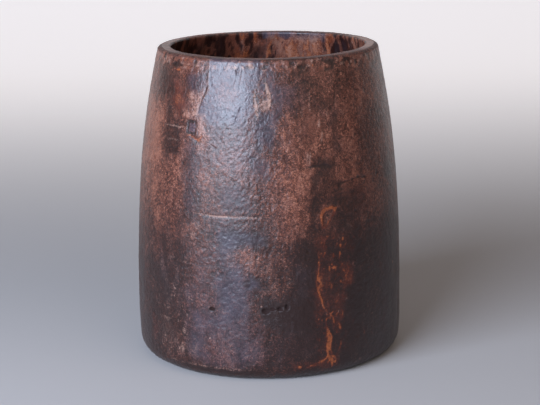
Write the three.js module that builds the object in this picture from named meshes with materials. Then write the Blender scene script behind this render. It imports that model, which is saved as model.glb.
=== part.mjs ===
// Carved wooden pot: a barrel-shaped vessel hollowed from one length of log.
// Millimetres, +Z up. The origin is the middle of the underside, and -Y is the front.
// The feature that takes the most skill is the hollow: the scoops that the gouge left, in
// staggered tiers down the wall, round the corner and across the dished floor.

import * as THREE from 'three';

// Outside
const bodyHeight = 290;
const footRadius = 122;
const bellyRadius = 124.5;
const bellyHeight = 45;
const rimRadius = 101.5;
const shoulderCurve = 2.4; // exponent: 1 is a straight cone above the belly, more is rounder
const footCurve = 2.3; // the same for the slight tuck under the belly
const footRound = 13;
const rimRound = 3;

// Hollow
const rimWall = 12.5;
const lowerWall = 17;
const mouthRound = 2;
const floorThickness = 30; // at its thinnest, in the middle of the dish
const floorDish = 6;
const floorFillet = 34;

// How the hand-carved body strays from a turned one
const lean = 2.2; // the rim's middle stands this far towards +X of the foot's
const bellyTilt = 9; // the widest ring is this much lower at +X, and higher at -X
const outsideOval = 0.7;
const hollowOval = 1.1;
const rimDip = 0.8; // how far the top of the rim sinks at the front and the back
const flatCount = 14; // broad, worn adze flats round the outside
const flatDepth = 0.4;

// Gouge marks in the hollow
const gougeColumns = 24;
const gougeLength = 56;
const gougeDepth = 1.5;
const floorGougeColumns = 12;
const floorGougeDepth = 1.2;

// Fineness of the faceted surface
const stepsPerGouge = 4;
const rowsPerGouge = 4;
const outsideRows = 10;
const footSteps = 4;
const edgeSteps = 2;
const filletSteps = 4;
const floorTiers = 2;
const rowsPerFloorTier = 3;

// Places that follow from the sizes
const turn = 2 * Math.PI;
const quarterTurn = Math.PI / 2;
const sectionCount = gougeColumns * stepsPerGouge;
const mouthHeight = bodyHeight - mouthRound;
const filletTop = floorThickness + floorDish + floorFillet;
const wallTiers = Math.max(1, Math.round((mouthHeight - filletTop) / gougeLength));
const wallRows = wallTiers * rowsPerGouge;
const floorRows = floorTiers * rowsPerFloorTier;

// Radius of the outside at a height, where the widest ring lies at ringHeight
function bodyRadius(height, ringHeight) {
  if (height < ringHeight) {
    const below = (ringHeight - height) / ringHeight;
    return bellyRadius - (bellyRadius - footRadius) * below ** footCurve;
  }
  const above = (height - ringHeight) / (bodyHeight - ringHeight);
  return bellyRadius - (bellyRadius - rimRadius) * above ** shoulderCurve;
}

// Thickness of the wall at a height: it grows evenly from the rim down to the floor
function wallThickness(height) {
  const down = (bodyHeight - height) / (bodyHeight - floorThickness);
  return rimWall + (lowerWall - rimWall) * down;
}

// Depth of one gouge scoop: full in its middle, nothing on the ridges to its neighbours.
// Both places run from 0 to 1 over each scoop, and every second tier is half a scoop round.
function scoop(columnPlace, tierPlace) {
  const stagger = Math.floor(tierPlace) % 2 === 0 ? 0 : 0.5;
  const across = 2 * ((columnPlace + stagger) % 1) - 1;
  const along = 2 * (tierPlace % 1) - 1;
  return (1 - across ** 2) * (1 - along ** 4);
}

// Section of the pot in the half plane at one angle, as points of radius and height. It runs
// from the edge of the underside up the outside, over the rim, down the hollow and to the
// innermost ring of the floor.
function section(angle) {
  const points = [];
  const ringHeight = bellyHeight - bellyTilt * Math.cos(angle);
  const oval = Math.cos(2 * angle);
  const flats = flatDepth * (0.5 - 0.5 * Math.cos(flatCount * angle));
  const outside = (height) => bodyRadius(height, ringHeight) + outsideOval * oval - flats;
  const hollow = (height) => (
    bodyRadius(height, ringHeight) - wallThickness(height) + hollowOval * oval
  );

  // Rounded edge of the foot
  for (let step = 0; step <= footSteps; step++) {
    const arc = quarterTurn * step / footSteps;
    const height = footRound * (1 - Math.cos(arc));
    points.push([outside(height) - footRound * (1 - Math.sin(arc)), height]);
  }

  // Outside of the wall
  const shoulderHeight = bodyHeight - rimRound;
  for (let row = 1; row <= outsideRows; row++) {
    const height = THREE.MathUtils.lerp(footRound, shoulderHeight, row / outsideRows);
    points.push([outside(height), height]);
  }

  // Worn edges of the rim, outside and then at the mouth, with the flat top between them
  for (let step = 1; step <= edgeSteps; step++) {
    const arc = quarterTurn * step / edgeSteps;
    const height = shoulderHeight + rimRound * Math.sin(arc);
    points.push([outside(height) - rimRound * (1 - Math.cos(arc)), height]);
  }
  for (let step = 0; step <= edgeSteps; step++) {
    const arc = quarterTurn * step / edgeSteps;
    const height = mouthHeight + mouthRound * Math.cos(arc);
    points.push([hollow(height) + mouthRound * (1 - Math.sin(arc)), height]);
  }

  // Wall of the hollow, with its tiers of upright scoops
  for (let row = 1; row <= wallRows; row++) {
    const height = THREE.MathUtils.lerp(mouthHeight, filletTop, row / wallRows);
    const depth = gougeDepth * scoop(gougeColumns * angle / turn, row / rowsPerGouge);
    points.push([hollow(height) + depth, height]);
  }

  // Rounded corner down to the floor, one more tier of scoops
  for (let step = 1; step <= filletSteps; step++) {
    const arc = quarterTurn * step / filletSteps;
    const tierPlace = wallTiers + step / filletSteps;
    const depth = gougeDepth * scoop(gougeColumns * angle / turn, tierPlace);
    const reach = floorFillet + depth;
    const height = filletTop - reach * Math.sin(arc);
    points.push([hollow(height) - floorFillet + reach * Math.cos(arc), height]);
  }

  // Dished floor, up to the ring of scoops round its middle
  const floorRadius = points.at(-1)[0];
  for (let row = 1; row < floorRows; row++) {
    const share = 1 - row / floorRows;
    const tierPlace = row / rowsPerFloorTier;
    const depth = floorGougeDepth * scoop(floorGougeColumns * angle / turn, tierPlace);
    points.push([floorRadius * share, floorThickness + floorDish * share ** 2 - depth]);
  }
  return points;
}

// A section point at its angle, moved with the lean of the body and the dip of the rim
function placed([radius, height], angle) {
  const share = height / bodyHeight;
  const dip = rimDip * Math.sin(angle) ** 2 * share ** 6;
  return new THREE.Vector3(
    radius * Math.cos(angle) + lean * share,
    radius * Math.sin(angle),
    height - dip,
  );
}

// Closed skin over the sections, from the middle of the underside to the middle of the floor
function skin(sections, undersideMiddle, floorMiddle) {
  const rows = sections[0].length;
  const vertices = [undersideMiddle, ...sections.flat(), floorMiddle];
  const floorIndex = vertices.length - 1;
  const indexOf = (column, row) => 1 + (column % sections.length) * rows + row;
  const faces = [];
  for (let column = 0; column < sections.length; column++) {
    faces.push(0, indexOf(column + 1, 0), indexOf(column, 0));
    for (let row = 0; row < rows - 1; row++) {
      const here = indexOf(column, row);
      const beside = indexOf(column + 1, row);
      faces.push(here, beside, beside + 1, here, beside + 1, here + 1);
    }
    faces.push(indexOf(column, rows - 1), indexOf(column + 1, rows - 1), floorIndex);
  }
  const geometry = new THREE.BufferGeometry().setFromPoints(vertices);
  geometry.setIndex(faces);
  return geometry;
}

function potGeometry() {
  const sections = [];
  for (let column = 0; column < sectionCount; column++) {
    const angle = turn * column / sectionCount;
    sections.push(section(angle).map((point) => placed(point, angle)));
  }
  const geometry = skin(sections, placed([0, 0], 0), placed([0, floorThickness], 0));

  // The lean moves the rim to one side, so the whole is centred again over the origin
  geometry.computeBoundingBox();
  const middle = geometry.boundingBox.getCenter(new THREE.Vector3());
  geometry.translate(-middle.x, -middle.y, 0);
  geometry.computeVertexNormals();
  return geometry;
}

const wood = new THREE.MeshStandardMaterial({ color: 0x4d3029, roughness: 0.45, metalness: 0 });

const pot = new THREE.Mesh(potGeometry(), wood);
pot.name = 'pot';

const carvedPot = new THREE.Group();
carvedPot.add(pot);

export default carvedPot;
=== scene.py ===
import math

import bpy
import numpy as np
from mathutils import Matrix, Vector


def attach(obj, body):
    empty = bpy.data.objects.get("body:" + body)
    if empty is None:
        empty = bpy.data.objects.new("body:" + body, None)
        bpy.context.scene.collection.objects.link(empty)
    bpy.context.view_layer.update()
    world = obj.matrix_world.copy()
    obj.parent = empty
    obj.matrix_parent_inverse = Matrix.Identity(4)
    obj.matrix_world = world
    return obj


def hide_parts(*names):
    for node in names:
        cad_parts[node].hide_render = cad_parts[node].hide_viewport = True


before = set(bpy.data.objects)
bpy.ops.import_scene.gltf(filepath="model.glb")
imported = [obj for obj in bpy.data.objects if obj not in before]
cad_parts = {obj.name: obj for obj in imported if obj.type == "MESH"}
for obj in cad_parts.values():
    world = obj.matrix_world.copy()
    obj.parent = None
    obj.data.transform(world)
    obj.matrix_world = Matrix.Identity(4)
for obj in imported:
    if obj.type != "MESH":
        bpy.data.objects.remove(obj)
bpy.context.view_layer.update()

# Carved wooden pot. Sizes are in millimetres and bearings in degrees: 0 is the front, -Y, and
# they grow towards +X. The mesh is turned into metres once, when it is made.

# Form of the pot, as its construction has it
BODY_HEIGHT = 290.0
FOOT_RADIUS = 122.0
BELLY_RADIUS = 124.5
BELLY_HEIGHT = 45.0
RIM_RADIUS = 101.5
SHOULDER_CURVE = 2.4
FOOT_CURVE = 2.3
FOOT_ROUND = 13.0
RIM_ROUND = 3.0
RIM_WALL = 12.5
LOWER_WALL = 17.0
MOUTH_ROUND = 2.0
FLOOR_THICKNESS = 30.0
FLOOR_DISH = 6.0
FLOOR_FILLET = 34.0
LEAN = 2.2
BELLY_TILT = 9.0
OUTSIDE_OVAL = 0.7
HOLLOW_OVAL = 1.1
RIM_DIP = 0.8
FLAT_COUNT = 14
FLAT_DEPTH = 0.4
GOUGE_COLUMNS = 24
GOUGE_TIERS = 4
GOUGE_DEPTH = 1.5
FLOOR_GOUGE_COLUMNS = 12
FLOOR_GOUGE_TIERS = 2
FLOOR_GOUGE_DEPTH = 1.2

# Rings of the mesh in each zone, in order from the middle of the underside to that of the floor
COLUMNS = 640
FRONT_CLOSENESS = 0.4  # how much closer the columns stand at the front than on average
RINGS = {"underside": 30, "foot": 16, "wall": 262, "rim edge": 6, "rim": 9, "mouth": 5,
         "hollow": 96, "corner": 24, "floor": 28}

QUARTER = math.pi / 2

scene = bpy.context.scene


def add_object(name, data):
    added = bpy.data.objects.new(name, data)
    scene.collection.objects.link(added)
    return added


def smooth(low, high, value):
    """0 below low, 1 above high, and an even S between; low may be the larger."""
    share = np.clip((value - low) / (high - low), 0.0, 1.0)
    return share * share * (3.0 - 2.0 * share)


# Form

def body_radius(height, ring):
    below = np.clip((ring - height) / ring, 0.0, None)
    above = np.clip((height - ring) / (BODY_HEIGHT - ring), 0.0, None)
    return (BELLY_RADIUS - (BELLY_RADIUS - FOOT_RADIUS) * below ** FOOT_CURVE
            - (BELLY_RADIUS - RIM_RADIUS) * above ** SHOULDER_CURVE)


def wall_thickness(height):
    down = (BODY_HEIGHT - height) / (BODY_HEIGHT - FLOOR_THICKNESS)
    return RIM_WALL + (LOWER_WALL - RIM_WALL) * down


def scoop(column_place, tier_place):
    """Depth of a gouge scoop, from 0 on its ridges to 1 in its middle."""
    stagger = np.where(np.floor(tier_place) % 2 == 0, 0.0, 0.5)
    across = 2.0 * ((column_place + stagger) % 1.0) - 1.0
    along = 2.0 * (tier_place % 1.0) - 1.0
    return (1.0 - across ** 2) * (1.0 - along ** 4)


def pot_rings(angle):
    """The zone name, radius and height of each ring, and how deep the gouge went there."""
    ring = BELLY_HEIGHT - BELLY_TILT * np.cos(angle)
    oval = np.cos(2.0 * angle)
    flats = FLAT_DEPTH * (0.5 - 0.5 * np.cos(FLAT_COUNT * angle))
    place = angle / (2.0 * math.pi)
    shoulder = BODY_HEIGHT - RIM_ROUND
    mouth_height = BODY_HEIGHT - MOUTH_ROUND
    corner_top = FLOOR_THICKNESS + FLOOR_DISH + FLOOR_FILLET
    rings = []

    def outside(height):
        return body_radius(height, ring) + OUTSIDE_OVAL * oval - flats

    def hollow(height):
        return body_radius(height, ring) - wall_thickness(height) + HOLLOW_OVAL * oval

    def add(zone, radius, height, gouge=0.0):
        rings.append((zone, radius, height + 0.0 * angle, gouge + 0.0 * angle))

    def shares(zone, first=1):
        return [step / RINGS[zone] for step in range(first, RINGS[zone] + 1)]

    for share in shares("underside")[:-1]:
        add("underside", share * (outside(0.0) - FOOT_ROUND), 0.0)
    for share in shares("foot", 0):
        arc = QUARTER * share
        height = FOOT_ROUND * (1.0 - math.cos(arc))
        add("foot", outside(height) - FOOT_ROUND * (1.0 - math.sin(arc)), height)
    for share in shares("wall"):
        height = FOOT_ROUND + (shoulder - FOOT_ROUND) * share
        add("wall", outside(height), height)
    for share in shares("rim edge"):
        height = shoulder + RIM_ROUND * math.sin(QUARTER * share)
        add("rim edge", outside(height) - RIM_ROUND * (1.0 - math.cos(QUARTER * share)), height)
    rim_outer = outside(BODY_HEIGHT) - RIM_ROUND
    rim_inner = hollow(BODY_HEIGHT) + MOUTH_ROUND
    for share in shares("rim"):
        add("rim", rim_outer + (rim_inner - rim_outer) * share, BODY_HEIGHT)
    for share in shares("mouth"):
        height = mouth_height + MOUTH_ROUND * math.cos(QUARTER * share)
        add("mouth", hollow(height) + MOUTH_ROUND * (1.0 - math.sin(QUARTER * share)), height)
    for share in shares("hollow"):
        height = mouth_height + (corner_top - mouth_height) * share
        gouge = GOUGE_DEPTH * scoop(GOUGE_COLUMNS * place, GOUGE_TIERS * share)
        add("hollow", hollow(height), height, gouge)
    for share in shares("corner"):
        arc = QUARTER * share
        height = corner_top - FLOOR_FILLET * math.sin(arc)
        # A little short of the full tier, so that its last ring isn't counted to the next one
        gouge = GOUGE_DEPTH * scoop(GOUGE_COLUMNS * place, GOUGE_TIERS + 0.999 * share)
        add("corner", hollow(height) - FLOOR_FILLET * (1.0 - math.cos(arc)), height, gouge)
    floor_radius = rings[-1][1]
    for share in shares("floor")[:-1]:
        gouge = FLOOR_GOUGE_DEPTH * scoop(FLOOR_GOUGE_COLUMNS * place, FLOOR_GOUGE_TIERS * share)
        height = FLOOR_THICKNESS + FLOOR_DISH * (1.0 - share) ** 2
        add("floor", floor_radius * (1.0 - share), height, gouge)
    return rings


class Surface:
    """Every grid point of the pot's skin, ring by ring, with what the later steps ask of it."""

    def __init__(self):
        turned = np.arange(COLUMNS) * 2.0 * math.pi / COLUMNS - math.pi
        turned -= FRONT_CLOSENESS * np.sin(turned)
        angle = turned - QUARTER
        rings = pot_rings(angle)
        self.ring_count = len(rings)
        self.ring_zones = [ring[0] for ring in rings]
        self.zones = np.repeat(self.ring_zones, COLUMNS)
        radius = np.array([ring[1] for ring in rings])
        height = np.array([ring[2] for ring in rings])
        self.gouge = np.array([ring[3] for ring in rings]).ravel()
        share = height / BODY_HEIGHT
        x = radius * np.cos(angle) + LEAN * share
        y = radius * np.sin(angle)
        z = height - RIM_DIP * np.sin(angle) ** 2 * share ** 6
        self.middle = (x.max() + x.min()) / 2.0
        self.grid = np.stack([x - self.middle, y, z], axis=2)
        self.points = self.grid.reshape(-1, 3)
        self.radius = radius.ravel()
        self.height = z.ravel()
        self.bearing = np.tile(np.degrees(turned), self.ring_count)
        self.normal = self.normals()

    def normals(self):
        around = np.roll(self.grid, -1, axis=1) - np.roll(self.grid, 1, axis=1)
        along = np.gradient(self.grid, axis=0)
        cross = np.cross(around, along)
        cross /= np.linalg.norm(cross, axis=2, keepdims=True) + 1e-9
        return cross.reshape(-1, 3)

    def within(self, *names):
        return np.isin(self.zones, names)


surface = Surface()
points = surface.points
bearings = surface.bearing
heights = surface.height
outer = surface.within("foot", "wall", "rim edge")
inner = surface.within("mouth", "hollow", "corner")
mouth = surface.within("mouth")
rim = surface.within("rim")
rim_edge = surface.within("rim edge")
floor_zone = surface.within("floor")
ends = surface.within("underside", "rim", "floor")


def noise(size, seed, stretch=1.0, points=points):
    """Even 3-D noise from -1 to 1, with cells of the given size and taller by stretch."""
    cell = points / (np.array([1.0, 1.0, stretch]) * size) + seed * 17.31
    base = np.floor(cell).astype(np.int64)
    part = cell - base
    part = part * part * part * (part * (part * 6.0 - 15.0) + 10.0)
    total = np.zeros(len(points))
    for corner in np.ndindex(2, 2, 2):
        x, y, z = (base + corner).T
        # The large numbers mix the cell and the seed into a value that looks random
        mix = (x * 73856093) ^ (y * 19349663) ^ (z * 83492791) ^ (seed * 2654435)
        mix = (mix ^ (mix >> 13)) * 1274126177 & 0x7FFFFFFF
        mix = (mix ^ (mix >> 16)) & 0xFFFF
        weight = np.prod(np.where(corner, part, 1.0 - part), axis=1)
        total += weight * (mix / 32767.5 - 1.0)
    return total


def layered(size, seed, stretch=1.0, layers=3, points=points):
    """Noise in halving sizes, still about -1 to 1."""
    total = np.zeros(len(points))
    for layer in range(layers):
        total += noise(size / 2 ** layer, seed + layer, stretch, points) / 2 ** layer
    return total / (2.0 - 2.0 ** (1 - layers))


# Sideways and upward wander that makes the edges of all marks ragged
coarse_side = 3.4 * layered(15, 31)
coarse_up = 4.6 * layered(15, 36, stretch=1.6)
fine_side = 1.5 * layered(3.6, 41, layers=2)
fine_up = 1.8 * layered(3.6, 44, layers=2)


# Marks

# Each mark adds to the relief and to layers of the finish, in the amounts that it names. "worn"
# runs from dark patina to red-brown wood and also holds painted light and shade of the relief and,
# in part, a painted shade of the lower body, "polish" is smooth blue-grey wax whose grey is in part
# a painted sheen, "rust" bare orange wood, "pale" abraded fibre and on the rim's sides a painted
# reflection, "char" black and in pits, grooves and along the rim's edge a painted shade, and "dry"
# wood that holds no wax. "depth" sinks the relief, in millimetres.
relief = np.zeros(len(points))
finish = {}

# Factors of a wash on the amounts, the softness and the wander that it is given
WASH_STRENGTH = {"worn": 0.7, "polish": 0.8, "char": 0.6, "rust": 0.85, "pale": 0.8, "dry": 1.0}
WASH_SOFTNESS = 1.5
WASH_WANDER = 1.2
FINE_WANDER = 0.35  # share of the wander that strokes and spots follow


def lay(spread, where=slice(None), **amounts):
    for name, strength in amounts.items():
        if name == "depth":
            relief[where] -= strength * spread
        else:
            finish[name][where] += strength * spread


def around(places, margin, zone, coarse, fine):
    """Points near a few places, with their millimetres round from the first and their height."""
    sideways = [place[0] for place in places]
    upward = [place[1] for place in places]
    first = sideways[0]
    scale = math.radians(1.0) * (BELLY_RADIUS if zone is outer else RIM_RADIUS)
    turned = (bearings - first + 180.0) % 360.0 - 180.0
    near = zone & (turned > min(sideways) - first - margin / scale)
    near &= turned < max(sideways) - first + margin / scale
    near &= (heights > min(upward) - margin) & (heights < max(upward) + margin)
    found = np.flatnonzero(near)
    x = turned[found] * scale + coarse * coarse_side[found] + fine * fine_side[found]
    y = heights[found] + coarse * coarse_up[found] + fine * fine_up[found]
    corners = [((bearing - first) * scale, height) for bearing, height in places]
    return found, x, y, corners


def nearest_on_line(x, y, start, end):
    """How far along the line each point's nearest place is, as a share, and how far away."""
    (ax, ay), (bx, by) = start, end
    ex, ey = bx - ax, by - ay
    share = np.clip(((x - ax) * ex + (y - ay) * ey) / (ex * ex + ey * ey), 0.0, 1.0)
    return share, np.hypot(x - ax - share * ex, y - ay - share * ey)


def patch(edge, places, ragged=1.0, zone=outer, **amounts):
    """A many-sided area; edge is the softness of its sides, one for all or one for each."""
    edges = edge if isinstance(edge, list) else [edge] * len(places)
    margin = max(edges) + 12.0 * ragged
    found, x, y, corners = around(places, margin, zone, ragged, ragged)
    inside = np.zeros(len(found), dtype=bool)
    nearest = np.full(len(found), np.inf)
    for start, end, softness in zip(corners, corners[1:] + corners[:1], edges):
        _, distance = nearest_on_line(x, y, start, end)
        nearest = np.minimum(nearest, distance / softness)
        (ax, ay), (bx, by) = start, end
        if ay != by:
            crossed = (ay > y) != (by > y)
            inside ^= crossed & (x < ax + (y - ay) * (bx - ax) / (by - ay))
    lay(smooth(-1, 1, np.where(inside, nearest, -nearest)), found, **amounts)


def wash(edge, places, ragged=1.0, **amounts):
    """A broad and soft area of the front."""
    amounts = {name: WASH_STRENGTH[name] * amount for name, amount in amounts.items()}
    patch(WASH_SOFTNESS * edge, places, WASH_WANDER * ragged, **amounts)


def stroke(width, places, zone=outer, **amounts):
    """A line through places, width across in its middle and drawn thin at its ends."""
    margin = 2.0 * width + 4.0
    found, x, y, corners = around(places, margin, zone, 0.3 * FINE_WANDER, FINE_WANDER)
    lengths = [math.dist(start, end) for start, end in zip(corners, corners[1:])]
    nearest = np.full(len(found), np.inf)
    done = 0.0
    for start, end, length in zip(corners, corners[1:], lengths):
        share, distance = nearest_on_line(x, y, start, end)
        place = (done + share * length) / sum(lengths)
        distance += 0.5 * width * np.abs(2.0 * place - 1.0) ** 3
        nearest = np.minimum(nearest, distance)
        done += length
    lay(smooth(0.5 * width + 0.8, 0.5 * width - 0.7, nearest), found, **amounts)


def spot(bearing, height, half_width, half_height, **amounts):
    """A small round or oval mark."""
    margin = 1.5 * max(half_width, half_height) + 2.0
    found, x, y, _ = around([(bearing, height)], margin, outer, 0.0, FINE_WANDER)
    distance = np.hypot(x / half_width, (y - height) / half_height)
    lay(smooth(1.25, 0.55, distance), found, **amounts)


# Finish before the placed marks
mottle = layered(34, 5, stretch=1.7)
clouds = layered(15, 9, stretch=1.5)
grain = layered(9, 12, stretch=5.0)
finish["worn"] = 0.47 + 0.13 * mottle + 0.12 * clouds + 0.08 * grain
# Darker towards the bottom, in part a painted shade of the lower body
finish["worn"] -= 0.3 * smooth(215, 70, heights)
finish["polish"] = 0.1 + 0.22 * layered(30, 14, stretch=1.3)
finish["rust"] = 0.38 * smooth(0.1, 0.75, layered(20, 20, stretch=2.2))
finish["pale"] = 0.12 * smooth(0.3, 0.9, layered(12, 23))
finish["char"] = 0.35 * smooth(0.25, 0.75, layered(26, 26, stretch=1.8))
finish["dry"] = np.zeros(len(points))

# Broad areas of the front: the softness of the edge, the corners and the amounts

# Waxed zones of the shoulder, their blue-grey in part a painted sheen
wash(8, [(-23, 268), (-15, 268), (-15, 248), (-24, 246)], worn=0.35, pale=0.12, polish=-0.35)
wash(6, [(-5, 285), (3, 285), (4, 270), (12, 264), (12, 246), (5, 240), (1, 252), (-3, 274)], polish=0.6,
     worn=-0.1, rust=-0.2)
wash(5, [(-4, 244), (5, 244), (5, 228), (2, 214), (-4, 213), (-6, 230)], ragged=0.8, polish=0.7,
     worn=-0.35, rust=-0.3)
wash(7, [(-30, 242), (-6, 242), (-3, 205), (-9, 188), (-28, 195)], polish=0.38, worn=-0.05, char=-0.1,
     rust=-0.2)
wash(7, [(-27, 178), (-12, 178), (-11, 154), (-25, 154)], char=0.15, dry=0.4)
wash(5, [(-39, 214), (-31, 212), (-31, 196), (-33, 150), (-40, 150)], polish=0.4, worn=-0.25, char=0.1)
wash(6, [(-7, 204), (0, 204), (2, 186), (-7, 180)], polish=0.5, worn=-0.2)
wash(6, [(-23, 182), (-10, 182), (-8, 160), (-20, 155)], polish=0.45, worn=-0.25)
wash(7, [(-26, 150), (-10, 150), (-9, 136), (-22, 108)], polish=0.35, worn=-0.05)
wash(4, [(-22, 137), (-2, 138), (0, 126), (-20, 122)], ragged=0.8, polish=0.4, worn=-0.35, char=0.25)
# Warm zones of the shoulder, from the left
wash(6, [(-80, 250), (-58, 245), (-57, 190), (-80, 185)], ragged=1.2, worn=0.38, rust=0.22, polish=-0.3,
     char=-0.3)
wash(6, [(-64, 236), (-58, 236), (-57, 196), (-65, 194)], ragged=1.2, pale=0.1, worn=0.22, rust=0.25)
wash(9, [(-80, 190), (-44, 186), (-42, 152), (-80, 140)], ragged=1.2, worn=0.2, rust=0.08, polish=-0.2)
wash(6, [(-52, 268), (-42, 264), (-40, 246), (-45, 236), (-51, 244)], ragged=1.2, rust=0.78, worn=0.12,
     polish=-0.3, char=-0.2)
wash(3, [(-50, 290), (-37, 289), (-36, 276), (-43, 276), (-52, 275)], rust=0.35, worn=0.25, pale=0.05)
wash(3.5, [(-44, 277), (-31, 276), (-31, 263), (-36, 256), (-43, 262)], ragged=0.8, polish=0.6,
     worn=-0.15, rust=0.08, char=0.15)
wash(5, [(-50, 200), (-42, 200), (-42, 186), (-56, 186)], worn=0.2)
wash(7, [(3, 240), (18, 243), (20, 205), (18, 148), (3, 148), (1, 200)], worn=0.24, pale=0.1,
     polish=-0.25)
wash(5, [(19, 244), (28, 244), (29, 206), (20, 206)], worn=0.18, rust=0.12, pale=0.08)
wash(5, [(34, 238), (43, 236), (46, 205), (35, 203)], worn=0.2, rust=0.18)
wash(4, [(19, 286), (31, 286), (30, 274), (20, 270)], worn=0.2, rust=0.2)
wash(6, [(30, 192), (52, 189), (48, 168), (31, 166)], worn=0.2, rust=0.06)
wash(8, [(30, 289), (75, 289), (75, 242), (34, 242), (30, 262)], worn=0.06, polish=-0.05)
wash(8, [(31, 215), (60, 215), (62, 120), (40, 120)], worn=0.12, rust=0.12)
wash(5, [(8, 182), (18, 182), (18, 148), (8, 148)], worn=0.16)
# Dark zones of the shoulder
wash(3, [(-55, 246), (-50, 246), (-50, 198), (-55.5, 198)], ragged=0.8, char=0.5, worn=-0.25, rust=-0.3)
wash(3, [(-49, 232), (-44, 229), (-44, 215), (-49, 216)], char=0.5, worn=-0.3, rust=-0.3)
wash(3, [(-50, 213), (-44, 213), (-45, 203), (-50, 201)], char=0.5, worn=-0.3, rust=-0.3)
wash(6, [(-66, 275), (-52, 277), (-51, 250), (-66, 248)], rust=0.25, char=0.35, worn=-0.3)
wash(3, [(20, 203), (30, 200), (29, 189), (19, 193)], ragged=0.8, char=0.55, worn=-0.25, rust=-0.2)
wash(5, [(18, 192), (31, 192), (30, 177), (18, 175)], char=0.4, worn=-0.2)
wash(3, [(17.5, 180), (21, 180), (20.5, 140), (17.5, 140)], ragged=0.8, char=0.45, worn=-0.25)
wash(5, [(20, 165), (31, 173), (31, 158), (20, 156)], char=0.45, worn=-0.2)
wash(6, [(31, 178), (44, 174), (42, 138), (30, 140)], char=0.5, worn=-0.25)
wash(3, [(29.5, 242), (34, 242), (33.5, 204), (29.5, 204)], ragged=0.8, char=0.35, worn=-0.2)
wash(6, [(10, 290), (20, 290), (21, 250), (12, 246)], worn=-0.1, polish=0.12)
wash(8, [(45, 240), (75, 240), (75, 150), (46, 186)], worn=-0.12, polish=0.05)
# Lower half: warm and speckled zones
wash(3, [(-59, 150), (-55, 150), (-55, 102), (-59, 100)], ragged=0.8, worn=0.3, rust=0.28)
wash(8, [(-80, 100), (-56, 100), (-57, 55), (-80, 40)], worn=0.02, rust=0.16, polish=-0.1)
wash(7, [(-55, 100), (-42, 98), (-38, 70), (-50, 60)], worn=0.1, pale=0.1, polish=0.05)
wash(7, [(-52, 58), (-38, 55), (-34, 18), (-55, 14)], ragged=1.2, worn=0.18, pale=0.14, rust=0.05)
wash(6, [(-35, 142), (-28, 145), (-27, 70), (-34, 70)], worn=0.16, rust=0.05)
wash(6, [(-30, 52), (-20, 50), (-16, 15), (-30, 20)], worn=0.18, rust=0.08, pale=0.05)
wash(5, [(-17, 108), (-10, 122), (0, 122), (9, 140), (9, 84), (-3, 84), (-3, 99), (-10, 100)], worn=0.24,
     pale=0.08, polish=-0.15, char=-0.3)
wash(5, [(3, 148), (18, 148), (15, 132), (4, 128)], worn=0.24, rust=0.06, polish=-0.2)
wash(4, [(25, 141), (31, 143), (30, 128), (26, 128)], rust=0.25, worn=0.1)
wash(5, [(18, 106), (30, 110), (27, 60), (21, 62)], rust=0.16, worn=-0.05)
wash(3, [(8, 18), (30, 20), (31, 8), (9, 7)], rust=0.55, worn=0.2, char=-0.2)
# Lower half: waxed and dark zones, the wax's grey in part a painted sheen
wash(6, [(-20, 110), (-12, 108), (-7, 90), (-10, 60), (-20, 62), (-22, 90)], polish=0.42, worn=-0.15,
     char=-0.2)
wash(3, [(-8, 98), (-3, 96), (-3.5, 88), (-8, 88)], ragged=0.7, polish=0.45, worn=-0.35)
wash(5, [(-3, 76), (18, 78), (19, 48), (8, 46), (-2, 57)], char=0.75, worn=-0.4, polish=0.15)
wash(5, [(10, 102), (18, 106), (19, 78), (10, 74)], char=0.3, worn=-0.25, polish=0.2)
wash(7, [(-14, 62), (-2, 57), (9, 47), (8, 12), (-14, 12)], polish=0.28)
wash(6, [(-34, 60), (-16, 60), (-15, 50), (-34, 48)], polish=0.3, worn=-0.05)
wash(8, [(-36, 128), (-6, 128), (-2, 60), (-2, 14), (-34, 14), (-38, 60)], polish=0.3, worn=0.14)
wash(5, [(-38, 44), (-30, 44), (-28, 18), (-36, 22)], polish=0.22, worn=-0.12)
wash(4, [(14, 130), (20, 125), (21, 106), (14, 110)], ragged=1.2, char=0.45, worn=-0.15)
wash(6, [(29, 82), (44, 84), (42, 18), (30, 16)], char=0.48, worn=-0.28)
wash(4, [(31, 138), (42, 140), (42, 82), (38, 80), (38, 104), (31, 110)], char=0.35, worn=-0.22)
wash(6, [(10, 48), (22, 48), (22, 22), (10, 22)], char=0.2, worn=-0.1, polish=0.1)
wash(9, [(42, 140), (75, 150), (75, 10), (44, 12)], worn=-0.14, char=0.1)
wash(9, [(14, 130), (78, 130), (78, 3), (6, 3), (8, 60)], worn=-0.24, char=0.3, rust=0.06)
wash(9, [(-92, 100), (-62, 100), (-54, 60), (-56, 3), (-92, 3)], worn=-0.2, rust=0.16, char=0.1)
wash(9, [(-62, 132), (-38, 128), (-36, 12), (-60, 12)], ragged=1.2, worn=-0.24, polish=0.08)
wash(9, [(-34, 120), (-8, 120), (-6, 12), (-32, 12)], ragged=1.2, worn=0.12, polish=0.1)

# Smaller patches of the front with a clear edge

# Sheet of wax on the shoulder, its blue-grey in part a painted sheen, with a straight left edge,
# and the bare wedge beside it
WAX_AND_SHEEN_SHEET = [(-31, 292), (-29.5, 270), (-29, 262), (-32, 252), (-35, 240), (-28, 236), (-12, 236),
             (-7, 248), (-7, 262), (-4, 275), (-3, 292)]
patch([1.2, 1.2, 1.2, 1.2, 4, 9, 8, 5, 5, 6, 2], WAX_AND_SHEEN_SHEET, ragged=0.35, polish=0.8, char=-0.5,
      rust=-0.4, worn=-0.05)
patch([3, 1.2, 1.2, 2, 4], [(-41, 259), (-31.5, 263), (-33, 250), (-35.2, 240), (-37, 241)], ragged=0.3,
      pale=0.34, worn=0.25, rust=0.1)
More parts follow.
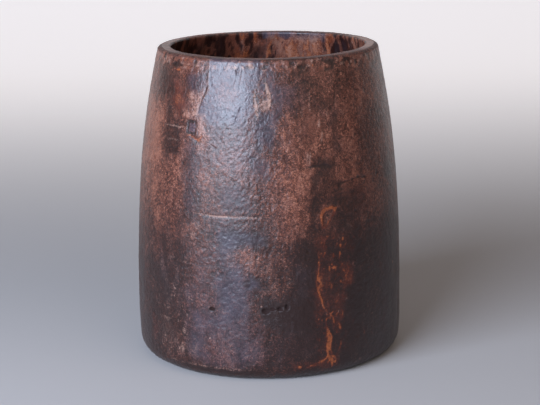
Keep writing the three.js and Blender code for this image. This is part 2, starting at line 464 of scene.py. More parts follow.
# Dark window with a grey middle, framed by pale wood
patch(2, [(-43, 242), (-29, 242), (-29, 206), (-33.5, 206), (-33.5, 236), (-43, 236.5)], ragged=0.5,
      pale=0.26, worn=0.24)
patch(0.7, [(-39.8, 234.5), (-34.6, 234.5), (-34.6, 222.5), (-39.8, 222.5)], ragged=0.15, char=1.15,
      polish=-0.5, rust=-0.5, pale=-0.5, depth=0.35)
patch(0.7, [(-38.6, 232.6), (-34.8, 232.6), (-34.8, 224.2), (-38.6, 224.2)], ragged=0.15, char=-1.1,
      polish=1.2, worn=0.1, depth=-0.2)
# Orange chip, its sunken heart and its raised lip
patch(0.9, [(21.6, 150), (23.6, 156.6), (27.4, 159), (30, 156.5), (29, 150.5), (26.4, 144.5), (24.2, 139),
            (22, 139.5), (22.6, 144)], ragged=0.8, rust=0.76, char=-0.6, worn=0.1)
patch(1, [(23.4, 149.6), (25, 154.4), (28, 154.2), (27.4, 150), (25.4, 145), (24, 144)], ragged=0.4,
      rust=-0.5, char=0.4, depth=0.55)
patch(0.9, [(24.6, 157), (27.6, 159), (30, 156.5), (29.2, 153), (27.8, 155.6)], ragged=0.3, rust=0.35,
      depth=-0.4)
patch(0.8, [(22.2, 151.5), (23.2, 151), (23.4, 143), (22.4, 143)], ragged=0.3, pale=0.22, rust=0.2,
      depth=-0.35)
# Bare orange patches of the lower right
patch(9, [(17, 136), (34, 136), (38, 90), (35, 22), (19, 22)], ragged=1.2, rust=0.28)
patch(3.5, [(20, 138), (25, 137), (25.5, 112), (21, 110)], rust=0.26, worn=0.1)
patch(3.5, [(19, 104), (23.5, 102), (23.5, 82), (20, 78)], rust=0.14)
patch(4, [(31.5, 106), (38, 103), (38.5, 84), (32, 80)], rust=0.32, char=-0.5)
patch(4, [(27, 76), (33, 76), (32, 44), (28, 46)], ragged=1.2, rust=0.24, char=-0.3)

# Strokes of the front: width, places and amounts

# Long pale scratch across the middle, with its faint ends
stroke(1.1, [(-29, 153), (-22, 152), (-14, 152.2)], pale=0.42, depth=0.25)
stroke(1.4, [(-38, 154.4), (-28, 152.8), (-13, 152.2), (3, 152.4)], pale=0.42, depth=0.25)
stroke(1.4, [(-47, 160), (-42, 157), (-38, 155)], pale=0.3, depth=0.2)
# Fine scratches round the pot, from the shoulder down to the foot
stroke(1.2, [(-28, 229), (-12, 228.5), (10, 228)], char=0.25, depth=0.2)
stroke(1.6, [(-55, 227.8), (-47, 227.3), (-39, 227.8)], pale=0.45, depth=0.15)
stroke(1.5, [(-55, 215.6), (-44, 215.5)], pale=0.38, depth=0.15)
stroke(1.3, [(-45, 108), (-34, 107), (-24, 107.5)], pale=0.25, depth=0.15)
stroke(1.3, [(-60, 61), (-45, 60.5)], pale=0.25, depth=0.12)
stroke(1.3, [(-58, 50), (-40, 50.5)], pale=0.25, depth=0.12)
stroke(1.2, [(-50, 110), (-38, 108)], pale=0.2, depth=0.12)
stroke(1.8, [(-48, 11.4), (-30, 11.8), (-12, 11.4), (-2, 12)], pale=0.35, rust=0.15, depth=-0.15)
stroke(1.8, [(-50, 8.6), (-30, 9), (-10, 8.6), (0, 9)], char=0.7, depth=0.25)
stroke(1.2, [(6, 195), (14, 194.4), (22, 195)], pale=0.2, depth=0.1)
# Drying checks under the rim
stroke(1.2, [(-13.6, 287), (-15.2, 276), (-16.8, 262)], rust=0.35, depth=0.32)
stroke(1.1, [(-12.5, 284), (-13.2, 272), (-13.8, 262)], pale=0.25, depth=0.22)
stroke(1.2, [(-17, 284), (-15.5, 280), (-13.5, 277)], pale=0.3, depth=0.3)
stroke(1.4, [(-12.9, 248), (-14, 241), (-15.6, 234)], char=0.35, depth=0.35)
stroke(1.1, [(-18.5, 276), (-17.5, 270)], depth=0.25)
# Pale and raised edge of the wax at the left
stroke(1.2, [(-30.6, 287), (-30, 276), (-29.4, 264)], pale=0.35, depth=-0.12)
stroke(1.5, [(-30.4, 266), (-32.5, 254), (-34.6, 241)], char=0.45, depth=0.3)
# Rust-coloured split under the dark window
stroke(2.6, [(-40, 219.5), (-37.6, 221.5), (-35, 218.5), (-33, 217.8), (-31.5, 221), (-29.4, 219)],
       rust=1.5, char=-1.2, polish=-0.8, pale=-0.4, depth=0.3)
stroke(2.2, [(-31, 216), (-29.5, 213.5), (-28, 214)], rust=0.9, depth=0.15)
stroke(2, [(-30.5, 209), (-29.4, 205)], rust=0.8, depth=0.15)
# Tan drip
stroke(3.4, [(-1.6, 272), (-0.4, 264), (0.6, 256), (0.4, 247)], pale=0.55, rust=0.15, polish=-0.5)
stroke(3.2, [(-6.6, 264), (-6.2, 254), (-5.6, 246), (-4.6, 238)], pale=0.55, rust=0.1, polish=-0.5)
stroke(1.8, [(-2, 283), (-3.4, 276), (-4.4, 270), (-4.8, 264)], pale=0.3, rust=0.5)
stroke(2, [(-2, 281), (-1, 276), (-1.6, 272)], pale=0.3, rust=0.6)
# Red line and pale fibres to the right
stroke(1.6, [(5.2, 150), (5.6, 141), (6, 131)], rust=0.6, depth=0.1)
stroke(1.4, [(17.2, 210), (17.2, 203), (16.6, 197)], pale=0.38, depth=-0.12)
stroke(1.5, [(18.6, 211), (18.4, 203), (18, 196)], pale=0.4, rust=0.3, depth=-0.12)
stroke(1.6, [(20.4, 270), (19.6, 258), (19.2, 243)], pale=0.35, depth=-0.12)
stroke(1.8, [(14.6, 245), (15.6, 239)], pale=0.38, rust=0.2, depth=-0.15)
stroke(1.8, [(24.8, 228), (24.4, 220), (23.8, 214)], pale=0.42, rust=0.2, depth=-0.15)
stroke(2.2, [(23.6, 236), (23.7, 229)], pale=0.42, depth=-0.12)
stroke(1.6, [(21, 262), (22, 258)], pale=0.3, depth=-0.12)
stroke(1.6, [(28.2, 243), (27.4, 238)], pale=0.3, depth=-0.12)
# Dark creases at the right
stroke(1.8, [(15, 195.5), (22, 195), (30, 194.5)], char=0.55, depth=0.3)
stroke(1.6, [(30, 177.5), (35, 178.5), (38, 180)], char=0.6, depth=0.25)
stroke(1.5, [(33.3, 262), (32.5, 252), (31.5, 246)], char=0.6, depth=0.25)
# Rust-orange vein down the lower right
stroke(1.1, [(19.6, 92), (20.2, 86), (21, 80), (22.2, 72), (23.8, 65), (25.6, 60.5)], rust=0.42,
       pale=0.15, char=-0.8, depth=-0.2)
stroke(1, [(21.6, 78), (22.6, 74), (22.8, 68)], rust=0.6, char=-0.5, depth=-0.15)
stroke(1.2, [(25.6, 60.5), (27.6, 62)], rust=0.55, char=-0.8, depth=-0.2)
stroke(1.5, [(25.6, 60.5), (27.4, 57), (27.8, 51)], rust=0.55, char=-0.8, depth=-0.2)
stroke(1.1, [(24.6, 60), (24, 55), (24.4, 50)], rust=0.6, char=-0.6, depth=-0.15)
stroke(5.2, [(24, 51), (25.2, 44), (26, 37), (25.4, 30), (25.8, 23), (27, 16), (27.4, 9)], rust=0.5,
       char=-0.9, polish=-0.3)
stroke(1.2, [(23.6, 48), (24.4, 40), (24, 32), (22.8, 22)], rust=0.3, depth=-0.15)
stroke(1.4, [(25.2, 47), (26.8, 39), (26.2, 28), (28, 20), (29.6, 12)], rust=0.35, depth=-0.2)
stroke(1.6, [(25.4, 33), (25, 24), (25.8, 16), (25.4, 9)], rust=0.35, depth=-0.15)
stroke(3, [(24.5, 20), (21, 15), (15, 11)], rust=0.3, char=-0.5)
stroke(1.1, [(29, 22), (31, 28), (31.4, 36)], rust=0.4, char=-0.3)
stroke(1.5, [(20.6, 118), (21.2, 108), (20.6, 98), (19.6, 92)], rust=0.35, char=-0.3)

# Small spots of the front: bearing, height, half sizes and amounts

# Tan foot of the drip, and the wax inside it
spot(-2.2, 250.5, 7.4, 6, pale=0.44, rust=0.16, polish=-0.5)
spot(-3.2, 265, 3, 6, polish=0.4, pale=-0.3)
# Black pits in a dark place, each in a matt ring: the pit, the ring and the depth. The black of
# the pits is in part a painted shade of the holes
spot(3, 67, 15, 6.5, char=0.5, polish=-0.2, worn=-0.2)
for pit, ring, depth in [((-1.8, 67.6, 3.2, 2.2), (-1.8, 67.2, 4.6, 3.2), 2.0),
                         ((0.9, 69.4, 3.2, 1.3), (1.2, 68.8, 3.2, 2.0), 0.6),
                         ((4.2, 69.2, 2.4, 1.9), (4.2, 68.8, 3.6, 2.8), 1.8),
                         ((7.2, 70.4, 1.7, 2.4), (7.2, 70.2, 2.8, 3.3), 1.8),
                         ((-24.8, 67, 2.4, 1.6), (-24.8, 66.8, 3.6, 2.5), 1.6)]:
    spot(*pit, char=2, polish=-1, dry=2, depth=depth)
    spot(*ring, char=1, dry=2)
# Dark dents
spot(-9.5, 93, 5, 4.6, char=0.6, polish=-0.1)
for place in [(39, 180, 1.9, 1.2), (42.4, 180.9, 2.6, 1.2), (46.2, 179.6, 3.2, 1.3),
              (55.5, 180, 2.4, 1.6)]:
    spot(*place, char=0.9, depth=0.5)
spot(2.4, 135, 2.4, 1.3, char=0.5, depth=0.3)
spot(16.5, 120, 2, 1.8, char=0.7, depth=0.4)
spot(15.6, 115, 1.4, 1.8, char=0.6, depth=0.3)
spot(21.5, 121, 2.4, 1.2, char=0.6, depth=0.3)
spot(26, 120.5, 1.8, 1.2, char=0.7, depth=0.3)
# Orange dots
spot(12.6, 13.2, 2, 1.6, rust=0.9, char=-0.8)
for *place, strength in [(32.6, 128, 1.2, 2, 0.6), (31.2, 122, 1.1, 2.2, 0.6),
                         (31, 115, 1.3, 2.4, 0.65), (27.8, 114, 1.2, 2.4, 0.5),
                         (28, 103, 3, 1.5, 0.5), (25.8, 103, 1.3, 3.2, 0.6),
                         (26.6, 86, 1.5, 3.6, 0.4), (30.8, 47, 1.2, 3, 0.5),
                         (-50.5, 276.5, 6, 1.5, 0.7)]:
    spot(*place, rust=strength)
# Pale dots
spot(-3.5, 71.5, 1.1, 1.1, pale=0.7)
spot(36, 240, 2, 4, pale=0.2, rust=0.2)
spot(-48, 283, 3.4, 1.8, pale=0.35, rust=0.3)
spot(34, 72, 1.4, 1.4, pale=0.35)
spot(42, 11.5, 2, 1.6, pale=0.25, rust=0.2)
spot(-39, 42, 2.4, 4, pale=0.3, rust=0.2)
spot(-40, 26, 2.4, 5, pale=0.25)
spot(-34, 133, 3, 3.6, pale=0.25, rust=0.1)
spot(-31.5, 141, 2.6, 3, pale=0.25, rust=0.15)
# Chips in the band under the rim
spot(-2.6, 283, 4.2, 2.2, char=0.6, rust=0.3, polish=-0.5, depth=0.2)
spot(-1, 285.5, 4, 1.4, rust=0.9, polish=-0.7, depth=-0.15)
spot(-9, 283.5, 4.8, 2.2, pale=0.12, rust=0.75, polish=-0.7, depth=0.15)
spot(-7.4, 284.2, 1.4, 1.4, char=0.9, depth=0.2)
spot(-17.6, 282, 4, 2, pale=0.2, rust=0.5, polish=-0.5, depth=0.1)
spot(-15.4, 278.5, 1.6, 2.4, char=0.5, depth=0.4)
spot(-13.8, 279, 1.4, 2, pale=0.3, depth=-0.2)
spot(22.4, 285, 2.4, 3.2, pale=0.15, rust=0.3, depth=-0.15)

# Seeded specks of the front: bearings from and to, heights from and to, how many, their kind
chance = np.random.default_rng(11)
SPECK_FIELDS = [(20, 36, 86, 136, 50, "rust"), (17, 34, 12, 62, 60, "rust"),
                (28, 56, 20, 150, 50, "rust"), (20, 60, 8, 110, 14, "pale"),
                (-58, -20, 12, 90, 60, "pale"), (-50, -14, 14, 60, 60, "rust"),
                (-64, -44, 180, 262, 34, "rust"), (-52, -30, 196, 236, 24, "char"),
                (-20, 10, 50, 120, 34, "char"), (12, 56, 120, 250, 50, "rust"),
                (10, 60, 150, 280, 44, "char")]
for left, right, low, high, count, tone in SPECK_FIELDS:
    for _ in range(count):
        size = chance.uniform(0.5, 1.1)
        spot(chance.uniform(left, right), chance.uniform(low, high), size,
             size * chance.uniform(0.8, 2.0), **{tone: chance.uniform(0.15, 0.5)})

# Seeded marks of the same kinds for the sides and the back
BACK_AREAS = 46
BACK_STROKES = 44
BACK_SPOTS = 60
KINDS = [dict(polish=0.45, worn=-0.2, char=-0.2), dict(worn=0.26, polish=-0.2),
         dict(char=0.5, worn=-0.3), dict(rust=0.3, worn=0.2, char=-0.2),
         dict(worn=0.2, pale=0.12), dict(polish=0.3, char=0.1)]
for number in range(BACK_AREAS):
    bearing = chance.uniform(82.0, 278.0)
    height = chance.uniform(16.0, 276.0)
    half_width = chance.uniform(3.0, 9.0)
    half_height = chance.uniform(10.0, 34.0)
    corners = []
    for turn in np.arange(6) * math.pi / 3.0:
        reach = chance.uniform(0.7, 1.15)
        corners.append((bearing + reach * half_width * math.cos(turn),
                        height + reach * half_height * math.sin(turn)))
    patch(chance.uniform(3.0, 8.0), corners, **KINDS[number % len(KINDS)])
for number in range(BACK_STROKES):
    bearing = chance.uniform(64.0, 296.0)
    height = chance.uniform(12.0, 280.0)
    if number % 3:
        end = (bearing + chance.uniform(5.0, 13.0), height + chance.uniform(-1.5, 1.5))
    else:
        end = (bearing + chance.uniform(-1.0, 1.0), height - chance.uniform(8.0, 20.0))
    tone = ("pale", "char", "rust")[number % 3]
    stroke(chance.uniform(1.2, 2.0), [(bearing, height), end], depth=0.2, **{tone: 0.45})
for number in range(BACK_SPOTS):
    bearing = chance.uniform(64.0, 296.0)
    height = chance.uniform(12.0, 284.0)
    size = chance.uniform(1.2, 3.0)
    tone = ("char", "char", "rust", "pale")[number % 4]
    depth = 0.4 if tone == "char" else 0.0
    spot(bearing, height, size, size * chance.uniform(0.6, 1.6), depth=depth, **{tone: 0.6})

# Rubbed, pitted band just under the rim, all the way round, a painted shadow line along the rim's
# outer edge, and the foot, darker towards its lowest edge
flecks = layered(4.4, 71, layers=2)
band = outer * smooth(277, 281.5, heights + 0.7 * coarse_up)
band = band * smooth(289, 287.5, heights)
right = smooth(-12, 20, bearings) + smooth(-32, -42, bearings)
strong = 0.35 + 0.65 * np.clip(right, 0.0, 1.0)
lay(band * strong * smooth(-0.05, 0.35, flecks), rust=0.55, worn=0.4)
lay(band * smooth(0.1, 0.5, noise(3, 77)), pale=0.4, depth=-0.15)
lay(band * strong * smooth(-0.05, -0.4, flecks), char=0.7, depth=0.3)
# Dark line along the rim's outer edge: a painted shadow line
lay(outer * smooth(286.8, 288.4, heights), char=0.25, worn=-0.1)
lay(outer * smooth(12, 3, heights), char=0.2, worn=-0.1)

# Rust that comes through in specks at the lower right
specks = outer * smooth(13, 22, bearings) * smooth(44, 34, bearings)
specks = specks * smooth(146, 126, heights)
lay(specks * smooth(0.1, 0.6, noise(2.3, 151)), rust=0.15)
lay(specks * smooth(0.15, 0.6, noise(3.4, 153, stretch=1.6)), char=0.35)

# Relief of the outside: broad hand carving, leathery skin, creases and pits
skin = layered(2.7, 84, layers=2)
warp = np.stack([noise(7, seed) for seed in (141, 142, 143)], axis=1)
creases = 1.0 - np.abs(layered(4.6, 145, layers=2, points=points + 3.0 * warp))
folds = 1.0 - np.abs(noise(6, 88, stretch=0.7))
pitted = smooth(0.4, 0.8, noise(4, 91))
sheet = smooth(0.15, 0.75, finish["polish"]) * smooth(150, 200, heights)
relief += outer * 0.32 * layered(70, 81, layers=2)
relief += outer * (0.22 - 0.14 * sheet) * skin
# Lighter where the skin stands out and darker where it sinks: painted light and shade of the relief
lay(outer * skin, worn=0.1)
lay(outer * smooth(0.9, 0.99, folds), depth=0.1)
# Creases darker in their grooves and lighter between them: painted shade and light of the relief
lay(outer * smooth(0.82, 0.97, creases), depth=0.09, char=0.1, worn=-0.1)
lay(outer * smooth(0.7, 0.35, creases), worn=0.1)
lay(outer * pitted, depth=0.12)

# Slanting wrinkles in the thick wax of the shoulder
side = math.radians(BELLY_RADIUS) * bearings
rise, fall = math.cos(math.radians(44.0)), math.sin(math.radians(44.0))
slant = np.stack([fall * side - rise * heights + 1.5 * warp[:, 0],
                  0.34 * (rise * side + fall * heights), 0.0 * side], axis=1)
wrinkles = 1.0 - np.abs(layered(2.5, 111, layers=2, points=slant))
waxed = outer * smooth(-32, -26, bearings) * smooth(3, -6, bearings)
waxed = waxed * smooth(110, 190, heights) * smooth(274, 244, heights)
lay(waxed * smooth(0.6, 1, wrinkles), depth=0.15)
# The deepest grooves of the wrinkles darker: painted shade
lay(waxed * smooth(0.8, 1, wrinkles), char=0.12)

# Hollow: the scoops, and the narrow chatter of the gouge inside them. The ends are plainer.
upright = layered(7, 94, stretch=7.0, layers=2)
relief += inner * (0.3 * upright + 0.08 * skin)
relief -= surface.gouge
relief += ends * (0.14 * layered(5, 97) + 0.05 * skin)

# Tones of the hollow: streaks that run up the wall
streaks = layered(4.4, 101, stretch=3.0)
blots = layered(3, 105, stretch=1.8)
lay(inner, worn=-0.05, polish=-0.1, dry=0.4)
lay(inner * smooth(-0.2, 0.25, streaks), worn=0.6, rust=0.9)
lay(inner * smooth(-0.05, 0.35, streaks), pale=0.16)
lay(inner * smooth(-0.05, -0.35, streaks), char=0.7, polish=0.25)
lay(inner * smooth(0.05, 0.45, blots), char=0.75, polish=0.3)
lay(floor_zone * smooth(-0.35, 0.3, clouds), worn=0.35, rust=0.4, dry=0.3)
lay(floor_zone * smooth(0, 0.5, blots), char=0.6)

# Placed tones of the hollow, below the far side of the rim
patch(6, [(200, 295), (275, 295), (275, 230), (203, 230)], zone=inner, char=0.4, rust=-0.3, worn=-0.15)
patch(4, [(180, 277), (191, 277), (190, 262), (181, 262)], zone=inner, char=0.7, rust=-0.4)
# Lavender band and pale patch at the top of the far wall: wax, in part a painted highlight
patch(2, [(164, 292), (184, 292), (183, 283), (165, 283)], zone=inner, polish=0.9, rust=-0.4, char=-0.8,
      worn=-0.1)
patch(3, [(138, 290), (166, 290), (164, 280), (142, 279)], zone=inner, polish=0.55, pale=0.18, char=-0.6,
      rust=-0.1)
patch(6, [(144, 284), (178, 284), (178, 240), (144, 240)], zone=inner, rust=0.34, worn=0.5, char=-0.5,
      pale=0.18)
patch(4, [(124, 282), (136, 282), (136, 266), (125, 266)], zone=inner, char=0.55, polish=0.3, rust=-0.3)
patch(6, [(96, 288), (124, 288), (124, 250), (96, 250)], zone=inner, worn=0.35, pale=0.2)
for bearing, low, high in [(173.5, 262, 278), (147.5, 272, 286), (140.5, 268, 288),
                           (159, 262, 276), (195, 268, 284)]:
    stroke(3.0, [(bearing + 1.0, high), (bearing, low)], zone=inner, rust=0.4, worn=0.4,
           pale=0.15, char=-0.7)

# Rim: satin grey-brown, paler along the mouth and with bare wood along parts of its edges
mouth_edge = mouth | rim & (surface.radius < RIM_RADIUS - RIM_WALL + 5.0)
lay(rim | rim_edge, polish=-0.25, worn=0.06, char=-0.3, rust=0.14, dry=0.9)
lay(mouth_edge * smooth(-0.2, 0.6, clouds), pale=0.22, worn=0.2)
far_edge = rim_edge * smooth(70, 95, np.abs(bearings))
lay(far_edge * smooth(-0.3, 0.4, clouds), rust=0.6, char=-0.6)
lay(rim * smooth(0, 0.7, blots), char=0.25, rust=0.15)
# Sides of the rim, glossier and paler: the pale is a painted reflection, stronger on the right
reflecting_rim_sides = rim * smooth(50, 75, np.abs(bearings))
reflecting_rim_sides = reflecting_rim_sides * smooth(135, 110, np.abs(bearings))
lay(reflecting_rim_sides, dry=-0.8, pale=0.35)
lay(reflecting_rim_sides * (bearings > 0.0), pale=0.3)
relief += (rim | mouth) * 0.35 * layered(26, 121)

for name in finish:
    finish[name] = np.clip(finish[name], 0.0, 1.0)


# Mesh

# Middle and radius of the two discs in the flat layout, whose whole side is 1
UNDERSIDE_DISC = (0.145, 0.855, 0.138)
FLOOR_DISC = (0.4, 0.855, 0.105)
OUTSIDE_STRIP = (0.003, 0.435)
HOLLOW_STRIP = (0.445, 0.705)
STRIP_MARGIN = 0.003


def layout(moved):
    """Flat layout of the skin: two strips for the wall and two discs for the ends."""
    zones = surface.ring_zones
    first_foot = zones.index("foot")
    last_mouth = len(zones) - 1 - zones[::-1].index("mouth")
    last_corner = len(zones) - 1 - zones[::-1].index("corner")
    grid = moved.reshape(surface.ring_count, COLUMNS, 3)
    steps = np.linalg.norm(np.diff(grid, axis=0), axis=2).mean(axis=1)
    run = np.concatenate([[0.0], np.cumsum(steps)])
    here = STRIP_MARGIN + (1.0 - 2.0 * STRIP_MARGIN) * np.arange(COLUMNS) / COLUMNS
    beside = here + (1.0 - 2.0 * STRIP_MARGIN) / COLUMNS

    def on_disc(ring, disc, edge_ring):
        x, y, size = disc
        reach = np.linalg.norm(grid[edge_ring, :, :2], axis=1).max()
        return grid[ring, :, :2] / reach * size + (x, y)

    places = []
    for ring in range(surface.ring_count - 1):
        if first_foot <= ring < last_corner:
            start, end, (low, high) = first_foot, last_mouth, OUTSIDE_STRIP
            if ring >= last_mouth:
                start, end, (low, high) = last_mouth, last_corner, HOLLOW_STRIP
            below, above = low + (high - low) * (run[ring:ring + 2] - run[start]) / (
                run[end] - run[start])
            corners = [(here, below), (beside, below), (beside, above), (here, above)]
            corners = [np.stack([u, v + 0.0 * u], axis=1) for u, v in corners]
        else:
            disc, edge = UNDERSIDE_DISC, first_foot
            if ring >= last_corner:
                disc, edge = FLOOR_DISC, last_corner
            below, above = on_disc(ring, disc, edge), on_disc(ring + 1, disc, edge)
            corners = [below, np.roll(below, -1, axis=0), np.roll(above, -1, axis=0), above]
        places.append(np.stack(corners, axis=1))
    first, last = places[0], places[-1]
    under = np.stack([first[:, 1], first[:, 0], 0 * first[:, 0] + UNDERSIDE_DISC[:2]], axis=1)
    floor = np.stack([last[:, 3], last[:, 2], 0 * last[:, 0] + FLOOR_DISC[:2]], axis=1)
    return np.concatenate([np.concatenate(places).reshape(-1, 2), under.reshape(-1, 2),
                           floor.reshape(-1, 2)])


def make_pot():
    moved = points + surface.normal * relief[:, None]
    moved[:, 2] = np.maximum(moved[:, 2], 0.0)
    low_middle = [-surface.middle, 0.0, 0.0]
    high_middle = [LEAN * FLOOR_THICKNESS / BODY_HEIGHT - surface.middle, 0.0, FLOOR_THICKNESS]
    vertices = np.concatenate([moved, [low_middle, high_middle]]) * 0.001
    rings = surface.ring_count
    here = np.arange(COLUMNS)
    beside = (here + 1) % COLUMNS
    quads = []
    for ring in range(rings - 1):
        low, high = ring * COLUMNS, (ring + 1) * COLUMNS
        quads.append(np.stack([low + here, low + beside, high + beside, high + here], axis=1))
    last = (rings - 1) * COLUMNS
    under = np.stack([beside, here, 0 * here + rings * COLUMNS], axis=1)
    floor = np.stack([last + here, last + beside, 0 * here + rings * COLUMNS + 1], axis=1)
    faces = np.concatenate(quads).tolist() + under.tolist() + floor.tolist()
    mesh = bpy.data.meshes.new("pot_skin")
    mesh.from_pydata(vertices.tolist(), [], faces)
    mesh.shade_smooth()
    for name, amount in finish.items():
        values = np.concatenate([amount, [amount[0], amount[-1]]]).astype(np.float32)
        mesh.attributes.new(name, "FLOAT", "POINT").data.foreach_set("value", values)
    flat = mesh.uv_layers.new(name="OFBake")
    flat.uv.foreach_set("vector", layout(moved).astype(np.float32).ravel())
    mesh.update()
    return add_object("pot_skin", mesh)


pot = make_pot()
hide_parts("pot")
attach(pot, "root")


# Material

class Nodes:
    """Short calls that add nodes to one material and link them."""

    def __init__(self, material):
        material.use_nodes = True
        self.tree = material.node_tree
        self.shader = self.tree.nodes["Principled BSDF"]

    def put(self, kind, **settings):
        node = self.tree.nodes.new(kind)
        for name, value in settings.items():
            setattr(node, name, value)
        return node

    def feed(self, socket, value):
        if isinstance(value, bpy.types.NodeSocket):
            self.tree.links.new(value, socket)
        else:
            socket.default_value = value

    def layer(self, name):
        return self.put("ShaderNodeAttribute", attribute_name=name).outputs["Fac"]

    def math(self, operation, first, second=0.0, third=0.0):
        node = self.put("ShaderNodeMath", operation=operation)
        for socket, value in zip(node.inputs, (first, second, third)):
            self.feed(socket, value)
        return node.outputs[0]

    def swing(self, base, pattern, strength):
        """The base moved up and down by a pattern that swings about a half."""
        centred = self.math("SUBTRACT", pattern, 0.5)
        return self.math("MULTIPLY_ADD", centred, strength, base)

    def spread(self, value, low, high, to_low=0.0, to_high=1.0):
        node = self.put("ShaderNodeMapRange", interpolation_type="SMOOTHSTEP")
        for socket, number in zip(node.inputs, (value, low, high, to_low, to_high)):
            self.feed(socket, number)
        return node.outputs[0]

    def tones(self, value, stops):
        node = self.put("ShaderNodeValToRGB")
        ramp = node.color_ramp
        while len(ramp.elements) < len(stops):
            ramp.elements.new(0.5)
        for element, (place, colour) in zip(ramp.elements, stops):
            element.position = place
            element.color = (*colour, 1.0)
        self.feed(node.inputs["Fac"], value)
        return node.outputs["Color"]

    def mix(self, share, first, second):
        node = self.put("ShaderNodeMix", data_type="RGBA")
        self.feed(node.inputs["Factor"], share)
        self.feed(node.inputs[6], first)
        self.feed(node.inputs[7], second)
        return node.outputs[2]

    def noise(self, scale, detail=2.0, stretch=(1.0, 1.0, 1.0), swirl=0.0):
        place = self.put("ShaderNodeTexCoord")
        mapping = self.put("ShaderNodeMapping")
        mapping.inputs["Scale"].default_value = stretch
        self.feed(mapping.inputs["Vector"], place.outputs["Object"])
        node = self.put("ShaderNodeTexNoise")
        for name, value in (("Scale", scale), ("Detail", detail), ("Distortion", swirl)):
            node.inputs[name].default_value = value
        self.feed(node.inputs["Vector"], mapping.outputs["Vector"])
        return node.outputs["Fac"]


# Colours along a tone, as a place from 0 to 1 and its colour
WOOD_TONES = [(0.00, (0.015, 0.0034, 0.0026)), (0.25, (0.036, 0.0088, 0.0052)),
              (0.5, (0.085, 0.024, 0.0145)), (0.75, (0.185, 0.057, 0.034)),
              (1.00, (0.34, 0.13, 0.078))]
RUST_TONES = [(0.35, (0.042, 0.0064, 0.003)), (0.75, (0.088, 0.012, 0.004)),
              (1.00, (0.285, 0.07, 0.018))]
# Grey of the wax, lighter than the wax itself so that it holds a painted sheen
WAX_AND_SHEEN_GREY = (0.07, 0.06, 0.084, 1.0)
PALE = (0.4, 0.225, 0.17, 1.0)
BLACK = (0.017, 0.0034, 0.0022, 1.0)
# How much the wax's grey, in part a painted sheen, covers the colour below
WAX_AND_SHEEN_COVER = 0.62  # how much full polish and full char hide the colour below them
# How much the black, in places a painted shade, covers the colour below
BLACK_AND_SHADE_COVER = 0.72
WAX_INDEX = 1.57  # index of refraction
GRAIN_HEIGHT = 0.0002  # metres


def patinated_wood():
    material = bpy.data.materials.new("patinated_wood")
    nodes = Nodes(material)
    speckle = nodes.noise(700.0, swirl=1.4)
    mottle = nodes.noise(100.0, detail=4.0, stretch=(1.0, 1.0, 0.55))
    pebble = nodes.noise(330.0, swirl=1.0)
    fibre = nodes.noise(800.0, stretch=(1.0, 1.0, 0.07))

    def broken(name, by_speckle, by_pebble, low, high):
        """A layer whose edges break up into specks."""
        value = nodes.swing(nodes.layer(name), speckle, by_speckle)
        value = nodes.swing(value, pebble, by_pebble)
        value = nodes.swing(value, mottle, 0.8 * by_speckle)
        return nodes.spread(value, low, high)

    char = broken("char", 0.9, 0.5, 0.15, 0.95)
    tone = nodes.layer("worn")
    # The speckle, pebble and fibre that swing the tone also raise the bump below, so raised grain is
    # lighter and sunken grain darker: painted light and shade of the grain, besides its own colour
    for pattern, strength in ((speckle, 1.7), (pebble, 0.55), (mottle, 0.6), (fibre, 0.35)):
        tone = nodes.swing(tone, pattern, strength)
    # Pale specks on the highest grain: in part painted glints
    tone = nodes.math("MULTIPLY_ADD", nodes.spread(speckle, 0.55, 0.7), 0.16, tone)
    tone = nodes.math("MULTIPLY_ADD", char, -0.35, tone)
    colour = nodes.tones(tone, WOOD_TONES)
    polish = broken("polish", 0.8, 0.2, 0.15, 1.0)
    # Blue-grey of the wax, in part a painted sheen
    colour = nodes.mix(nodes.math("MULTIPLY", polish, WAX_AND_SHEEN_COVER), colour, WAX_AND_SHEEN_GREY)
    rust = broken("rust", 1.0, 0.6, 0.15, 0.95)
    rusty = nodes.swing(nodes.swing(nodes.layer("rust"), mottle, 0.8), speckle, 0.8)
    colour = nodes.mix(rust, colour, nodes.tones(rusty, RUST_TONES))
    pale = broken("pale", 0.9, 0.6, 0.1, 0.95)
    colour = nodes.mix(pale, colour, PALE)
    # Black, which in pits, grooves and along the rim's edge is a painted shade
    colour = nodes.mix(nodes.math("MULTIPLY", char, BLACK_AND_SHADE_COVER), colour, BLACK)
    nodes.feed(nodes.shader.inputs["Base Color"], colour)

    rough = nodes.spread(mottle, 0.3, 0.7, 0.32, 0.42)
    dry = nodes.layer("dry")
    driest = nodes.spread(dry, 0.93, 1.0)
    for layer, change in ((polish, -0.05), (rust, 0.06), (pale, 0.08), (char, -0.04),
                          (dry, 0.25), (driest, 0.4)):
        rough = nodes.math("MULTIPLY_ADD", layer, change, rough)
    nodes.feed(nodes.shader.inputs["Roughness"], rough)
    nodes.shader.inputs["IOR"].default_value = WAX_INDEX

    leather = nodes.math("MULTIPLY", speckle, nodes.spread(polish, 0.0, 1.0, 1.0, 0.55))
    fine = nodes.math("MULTIPLY_ADD", fibre, 0.15, leather)
    fine = nodes.math("MULTIPLY_ADD", pebble, 1.5, fine)
    bump = nodes.put("ShaderNodeBump")
    bump.inputs["Distance"].default_value = GRAIN_HEIGHT
    nodes.feed(bump.inputs["Height"], fine)
    nodes.feed(nodes.shader.inputs["Normal"], bump.outputs["Normal"])
    return material


pot.data.materials.append(patinated_wood())


# Stage, lights and camera, in metres and degrees

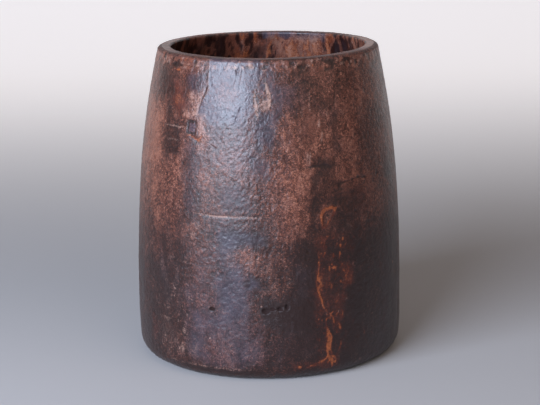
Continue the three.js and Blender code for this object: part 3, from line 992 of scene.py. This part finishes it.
STAGE_TONE = (0.55, 0.52, 0.51, 1.0)
STAGE_REACH = 6.0  # to the front and to each side
STAGE_BACK = 1.6
STAGE_BEND = 0.8
STAGE_TOP = 3.0
BEND_STEPS = 12
GLOW_TONE = (1.0, 0.95, 0.955, 1.0)
GLOW_START = 0.2  # the backdrop's glow grows from here to its end
GLOW_END = 1.8
GLOW_STRENGTH = 0.64
WORLD_TONE = (1.0, 0.95, 0.96, 1.0)
WORLD_STRENGTH = 0.1
SENSOR_WIDTH = 36.0  # this and the lens in millimetres
LENS = 109.25
CAMERA_PLACE = (0.0017, -1.5195, 0.4965)
CAMERA_PITCH = 13.287
CAMERA_ROLL = 0.848


def stage_material():
    """Matt and pale, with a backdrop that also shows pale by itself in the view and in gloss."""
    material = bpy.data.materials.new("stage_pale")
    nodes = Nodes(material)
    nodes.shader.inputs["Base Color"].default_value = STAGE_TONE
    nodes.shader.inputs["Roughness"].default_value = 0.9
    place = nodes.put("ShaderNodeNewGeometry").outputs["Position"]
    depth = nodes.put("ShaderNodeSeparateXYZ")
    nodes.feed(depth.inputs[0], place)
    far = nodes.spread(depth.outputs["Y"], GLOW_START, GLOW_END, 0.0, GLOW_STRENGTH)
    path = nodes.put("ShaderNodeLightPath")
    seen = nodes.math("MAXIMUM", path.outputs["Is Camera Ray"], path.outputs["Is Glossy Ray"])
    seen = nodes.math("MAXIMUM", seen, path.outputs["Is Transmission Ray"])
    nodes.shader.inputs["Emission Color"].default_value = GLOW_TONE
    nodes.feed(nodes.shader.inputs["Emission Strength"], nodes.math("MULTIPLY", far, seen))
    return material


def make_floor():
    """A pale floor that curves up into a backdrop behind the pot."""
    outline = [(-STAGE_REACH, 0.0), (STAGE_BACK, 0.0)]
    for step in range(1, BEND_STEPS + 1):
        arc = QUARTER * step / BEND_STEPS
        outline.append((STAGE_BACK + STAGE_BEND * math.sin(arc),
                        STAGE_BEND * (1.0 - math.cos(arc))))
    outline.append((STAGE_BACK + STAGE_BEND, STAGE_TOP))
    corners = [(side * STAGE_REACH, y, z) for y, z in outline for side in (-1, 1)]
    faces = [(2 * i, 2 * i + 1, 2 * i + 3, 2 * i + 2) for i in range(len(outline) - 1)]
    mesh = bpy.data.meshes.new("stage_floor")
    mesh.from_pydata(corners, [], faces)
    mesh.shade_smooth()
    floor = add_object("stage_floor", mesh)
    floor.data.materials.append(stage_material())


def add_softbox(name, bearing, elevation, distance, width, height, power, colour):
    """An area light that faces the middle of the pot."""
    light = bpy.data.lights.new(name, "AREA")
    light.shape = "RECTANGLE"
    light.size = width
    light.size_y = height
    light.energy = power
    light.color = colour
    lamp = add_object(name, light)
    turn, rise = math.radians(bearing), math.radians(elevation)
    away = Vector((math.sin(turn) * math.cos(rise), -math.cos(turn) * math.cos(rise),
                   math.sin(rise)))
    aim = Vector((0.0, 0.0, 0.5 * BODY_HEIGHT * 0.001))
    lamp.location = aim + distance * away
    lamp.rotation_euler = (-away).to_track_quat("-Z", "Y").to_euler()


def add_world():
    world = bpy.data.worlds.new("studio")
    world.use_nodes = True
    background = world.node_tree.nodes["Background"]
    background.inputs["Color"].default_value = WORLD_TONE
    background.inputs["Strength"].default_value = WORLD_STRENGTH
    scene.world = world


def add_camera():
    """The photograph's view: a long lens a little above the pot, pitched down and rolled."""
    data = bpy.data.cameras.new("camera")
    data.sensor_fit = "HORIZONTAL"
    data.sensor_width = SENSOR_WIDTH
    data.lens = LENS
    camera = add_object("camera", data)
    camera.matrix_world = (Matrix.Translation(CAMERA_PLACE)
                           @ Matrix.Rotation(QUARTER - math.radians(CAMERA_PITCH), 4, "X")
                           @ Matrix.Rotation(-math.radians(CAMERA_ROLL), 4, "Z"))
    scene.camera = camera


make_floor()
add_softbox("window", bearing=-36.0, elevation=18.0, distance=2.0, width=1.55, height=1.05,
            power=71.0, colour=(0.68, 0.8, 1.0))
add_softbox("fill", bearing=42.0, elevation=30.0, distance=2.2, width=2.4, height=1.8,
            power=9.5, colour=(1.0, 0.86, 0.77))
add_softbox("overhead", bearing=0.0, elevation=75.0, distance=2.2, width=1.6, height=1.6,
            power=4.0, colour=(1.0, 0.94, 0.9))
add_world()
add_camera()
scene.view_settings.view_transform = "Standard"
